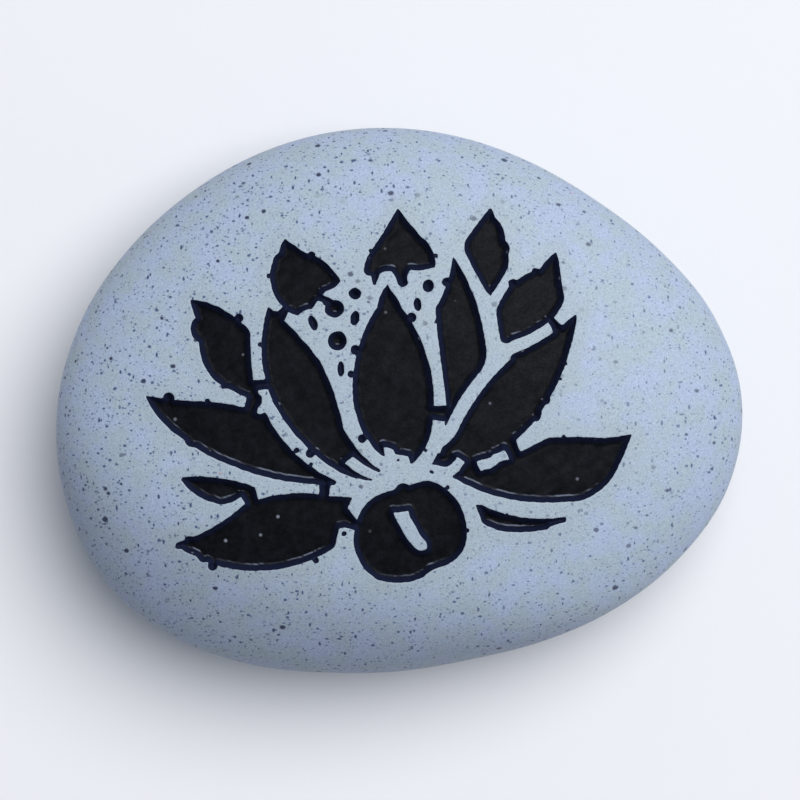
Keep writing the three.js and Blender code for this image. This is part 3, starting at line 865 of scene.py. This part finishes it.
        # Painted highlight: a pale line at the foot of the walls that face up the flower, broken up by noise.
        lined = add_node(tree, "Mix", {
            MIX_FACTOR: share.outputs["Value"],
            MIX_FIRST: tinted.outputs[MIX_RESULT],
            MIX_SECOND: srgb(self.painted_highlight),
        }, data_type="RGBA")
        return lined.outputs[MIX_RESULT]


@dataclass
class CarvedPebble:
    """The whole object: one stone with the flower sunk into its crown. Sizes in mm."""

    form: StoneForm
    lotus: Lotus
    skin: RiverStone
    paint: BlastedPaint
    sphere_subdivisions: int = 6
    edge_facet: float = 0.34
    floor_facet: float = 0.85
    facet_growth: float = 0.55
    carving_depth: float = 1.8
    # The wall's slope, as (inset from the cut's edge, depth), from the worn rim to the floor.
    wall_profile: tuple[tuple[float, float], ...] = (
        (-0.12, 0.0), (0.0, 0.05), (0.45, 0.85), (0.85, 1.6), (1.25, 1.8),
    )
    snap: float = 0.05
    floor_unevenness: float = 0.03

    def build(self) -> bpy.types.Object:
        """Models the stone, dresses it and puts it in the scene.

        Returns:
            The finished piece.
        """
        stone = bmesh.new()
        bmesh.ops.create_icosphere(stone, subdivisions=self.sphere_subdivisions, radius=1.0)
        self._refine(stone)
        self._round(stone)
        inset = stone.verts.layers.float.new("inset")
        self._measure(stone, inset)
        for level, _ in self.wall_profile:
            self._cut_at(stone, inset, level)
        self._mark_painted_highlight(stone, inset)
        self._sink(stone, inset)
        self._flatten_underside(stone)
        self._assign(stone, inset)
        bmesh.ops.scale(stone, vec=(MM, MM, MM), verts=stone.verts)
        mesh = bpy.data.meshes.new("engraved_pebble")
        stone.to_mesh(mesh)
        stone.free()
        mesh.materials.append(self.skin.material())
        mesh.materials.append(self.paint.material())
        piece = bpy.data.objects.new("engraved_pebble", mesh)
        bpy.context.scene.collection.objects.link(piece)
        logging.info("%s: %d triangles", piece.name, len(mesh.polygons))
        return piece

    def _refine(self, stone: bmesh.types.BMesh) -> None:
        """Splits the unit sphere's edges until they are short enough near the flower's edges.

        Args:
            stone: The unit sphere.
        """
        for _ in range(6):
            stone.verts.index_update()
            directions = np.array([vert.co[:] for vert in stone.verts])
            places = self.form.surface(directions)
            pairs = np.array([(edge.verts[0].index, edge.verts[1].index) for edge in stone.edges])
            ends = places[pairs]
            length = np.linalg.norm(ends[:, 0] - ends[:, 1], axis=1)
            middle = ends.mean(axis=1)
            inset = np.full(len(pairs), -self.lotus.far)
            above = middle[:, 2] > self.form.girdle_height + self.form.crown_rise / 3
            inset[above] = self.lotus.inset(middle[above][:, :2])
            last = self.wall_profile[-1][0]
            outside = np.maximum(-inset - 0.3, 0)
            wanted = self.edge_facet + self.facet_growth * np.maximum(outside - length / 2, 0)
            wanted = np.where(inset > last + length / 2, self.floor_facet, wanted)
            long = np.flatnonzero(length > wanted * 1.35)
            if long.size == 0:
                break
            edges = list(stone.edges)
            bmesh.ops.subdivide_edges(stone, edges=[edges[i] for i in long], cuts=1)
            bmesh.ops.triangulate(stone, faces=[face for face in stone.faces if len(face.verts) > 3])
            for vert in stone.verts:
                vert.co.normalize()
            logging.info("refined to %d triangles", len(stone.faces))

    def _round(self, stone: bmesh.types.BMesh) -> None:
        """Takes the unit sphere's points to the stone's surface.

        Args:
            stone: The unit sphere.
        """
        directions = np.array([vert.co[:] for vert in stone.verts])
        for vert, place in zip(stone.verts, self.form.surface(directions)):
            vert.co = place

    def _measure(self, stone: bmesh.types.BMesh, inset: bmesh.types.BMLayerItem) -> None:
        """Writes how far inside the cut each point lies.

        Args:
            stone: The stone.
            inset: The layer that holds the result.
        """
        places = np.array([vert.co[:] for vert in stone.verts])
        found = np.full(len(places), -self.lotus.far)
        above = places[:, 2] > self.form.girdle_height + self.form.crown_rise / 3
        found[above] = self.lotus.inset(places[above][:, :2])
        for vert, value in zip(stone.verts, found):
            vert[inset] = value

    def _cut_at(self, stone: bmesh.types.BMesh, inset: bmesh.types.BMLayerItem, level: float) -> None:
        """Runs a line of mesh edges along one inset of the flower's edge.

        Args:
            stone: The stone.
            inset: The layer that says how far inside the cut each point lies.
            level: The inset that the line follows.
        """
        self._snap_to(stone, inset, level)
        shares = {}
        for edge in stone.edges:
            first, second = edge.verts[0][inset] - level, edge.verts[1][inset] - level
            if first * second < 0 and min(abs(first), abs(second)) > 1e-6:
                shares[edge] = first / (first - second)
        split = bmesh.ops.bisect_edges(stone, edges=list(shares), cuts=1, edge_percents=shares)
        for made in split["geom_split"]:
            if isinstance(made, bmesh.types.BMVert):
                made[inset] = level
        line = [vert for vert in stone.verts if abs(vert[inset] - level) < 1e-6]
        bmesh.ops.connect_verts(stone, verts=line)
        bmesh.ops.triangulate(stone, faces=[face for face in stone.faces if len(face.verts) > 3])

    def _snap_to(self, stone: bmesh.types.BMesh, inset: bmesh.types.BMLayerItem, level: float) -> None:
        """Moves the points that are nearly on a line onto it, so that it leaves no slivers.

        Args:
            stone: The stone.
            inset: The layer that says how far inside the cut each point lies.
            level: The inset that the line follows.
        """
        near = [vert for vert in stone.verts if abs(vert[inset] - level) < self.snap]
        if not near:
            return
        step = 0.02
        places = np.array([vert.co[:2] for vert in near])
        here = self.lotus.inset(places)
        slope = np.column_stack([
            (self.lotus.inset(places + np.array(shift) * step) - here) / step
            for shift in ((1, 0), (0, 1))
        ])
        steep = np.maximum((slope ** 2).sum(axis=1), 0.25)
        for vert, value, direction, size in zip(near, here, slope, steep):
            shift = direction * (level - value) / size
            fall = (vert.normal.x * shift[0] + vert.normal.y * shift[1]) / max(vert.normal.z, 0.3)
            vert.co += Vector((shift[0], shift[1], -fall))
            vert[inset] = level

    def _mark_painted_highlight(self, stone: bmesh.types.BMesh, inset: bmesh.types.BMLayerItem) -> None:
        """Marks the foot of each wall that faces up the flower, where the highlight is painted.

        Args:
            stone: The stone.
            inset: The layer that says how far inside the cut each point lies.
        """
        painted_highlight = stone.verts.layers.float.new("painted_highlight")
        near = [vert for vert in stone.verts if 0.6 < vert[inset] < 1.7]
        places = np.array([vert.co[:2] for vert in near])
        step = np.array((0.0, 0.05))
        rise = (self.lotus.inset(places + step) - self.lotus.inset(places - step)) / 0.1
        for vert, value in zip(near, np.clip(rise, 0, 1)):
            vert[painted_highlight] = value

    def _sink(self, stone: bmesh.types.BMesh, inset: bmesh.types.BMLayerItem) -> None:
        """Sinks the cut below the crown along the wall's profile.

        Args:
            stone: The stone.
            inset: The layer that says how far inside the cut each point lies.
        """
        insets = np.array([vert[inset] for vert in stone.verts])
        places = np.array([vert.co[:2] for vert in stone.verts])
        across, depth = zip(*self.wall_profile)
        drop = np.interp(insets, across, depth)
        rng = np.random.default_rng(SEED + 1)
        uneven = np.zeros(len(places))
        for wavelength in (1.7, 2.3, 3.1, 4.3, 6.1, 8.7):
            heading, phase = rng.uniform(0, 2 * math.pi, 2)
            along = places @ np.array((math.cos(heading), math.sin(heading)))
            uneven += np.sin(2 * math.pi * along / wavelength + phase)
        drop += np.where(insets > 0.5, self.floor_unevenness * uneven * drop / self.carving_depth, 0)
        for vert, fall in zip(stone.verts, drop):
            vert.co.z -= fall

    def _flatten_underside(self, stone: bmesh.types.BMesh) -> None:
        """Wears the flat spot that the stone rests on.

        Args:
            stone: The stone.
        """
        everything = [*stone.verts, *stone.edges, *stone.faces]
        bmesh.ops.bisect_plane(stone, geom=everything, dist=0.01, plane_co=(0, 0, 0), plane_no=(0, 0, 1))
        for vert in stone.verts:
            vert.co.z = max(vert.co.z, 0.0)
        bmesh.ops.triangulate(stone, faces=[face for face in stone.faces if len(face.verts) > 3])

    def _assign(self, stone: bmesh.types.BMesh, inset: bmesh.types.BMLayerItem) -> None:
        """Gives the cut its paint, and keeps the rim between the two finishes crisp.

        Args:
            stone: The stone.
            inset: The layer that says how far inside the cut each point lies.
        """
        for face in stone.faces:
            face.smooth = True
            face.material_index = int(max(vert[inset] for vert in face.verts) > 1e-4)
        for edge in stone.edges:
            if all(abs(vert[inset]) < 1e-4 for vert in edge.verts):
                edge.smooth = False


@dataclass(frozen=True)
class Studio:
    """A plain pale table and soft light from the upper right, with no shape of its own."""

    table: str = "#e8e8ea"
    table_size: float = 6.0
    key_power: float = 43.0
    key_size: float = 1.9
    key_distance: float = 2.0
    key_azimuth_deg: float = 42.0
    key_height_deg: float = 62.0
    sky: str = "#e2ebfa"
    sky_strength: float = 0.36

    def build(self) -> None:
        """Makes the table and the lights."""
        self._make_table()
        self._make_key()
        self._make_sky()

    def _make_table(self) -> None:
        """Makes the table top that the stone lies on."""
        top = bmesh.new()
        bmesh.ops.create_grid(top, x_segments=1, y_segments=1, size=self.table_size / 2)
        mesh = bpy.data.meshes.new("table_top")
        top.to_mesh(mesh)
        top.free()
        made = bpy.data.materials.new("pale_table")
        made.use_nodes = True
        shader = made.node_tree.nodes["Principled BSDF"]
        shader.inputs["Base Color"].default_value = srgb(self.table)
        shader.inputs["Roughness"].default_value = 0.9
        mesh.materials.append(made)
        table = bpy.data.objects.new("table_top", mesh)
        bpy.context.scene.collection.objects.link(table)

    def _make_key(self) -> None:
        """Makes the large soft light up to the right."""
        azimuth, height = math.radians(self.key_azimuth_deg), math.radians(self.key_height_deg)
        away = Vector((
            math.cos(azimuth) * math.cos(height),
            math.sin(azimuth) * math.cos(height),
            math.sin(height),
        ))
        light = bpy.data.lights.new("key", "AREA")
        light.shape = "DISK"
        light.size = self.key_size
        light.energy = self.key_power
        key = bpy.data.objects.new("key", light)
        key.location = away * self.key_distance
        key.rotation_euler = (-away).to_track_quat("-Z", "Y").to_euler()
        bpy.context.scene.collection.objects.link(key)

    def _make_sky(self) -> None:
        """Makes the even light from all round."""
        world = bpy.data.worlds.new("soft_room")
        world.use_nodes = True
        background = world.node_tree.nodes["Background"]
        background.inputs["Color"].default_value = srgb(self.sky)
        background.inputs["Strength"].default_value = self.sky_strength
        bpy.context.scene.world = world


@dataclass(frozen=True)
class TopCamera:
    """The photograph's view: straight down on the stone, with X to the right and Y up."""

    frame_pixels: int = 800
    mm_per_pixel: float = 0.176
    distance: float = 0.7
    sensor_mm: float = 36.0
    focus_height: float = 0.0174

    def build(self) -> None:
        """Makes the camera, so that one pixel at the girdle's height is mm_per_pixel wide."""
        data = bpy.data.cameras.new("top_view")
        data.sensor_width = self.sensor_mm
        data.lens = self.sensor_mm * self.distance / (self.frame_pixels * self.mm_per_pixel * MM)
        camera = bpy.data.objects.new("top_view", data)
        camera.location = (0.0, 0.0, self.focus_height + self.distance)
        bpy.context.scene.collection.objects.link(camera)
        bpy.context.scene.camera = camera


def main() -> None:
    """Builds the stage and the stone, and ties the stone to its CAD node."""
    logging.basicConfig(level=logging.INFO, format="%(message)s")
    scene = bpy.context.scene
    scene.view_settings.view_transform = "Standard"
    TopCamera().build()
    Studio().build()
    pebble = CarvedPebble(StoneForm(), Lotus(), RiverStone(), BlastedPaint()).build()
    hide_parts(CAD_NODE)
    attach(pebble, "root")


if __name__ == "__main__":
    main()
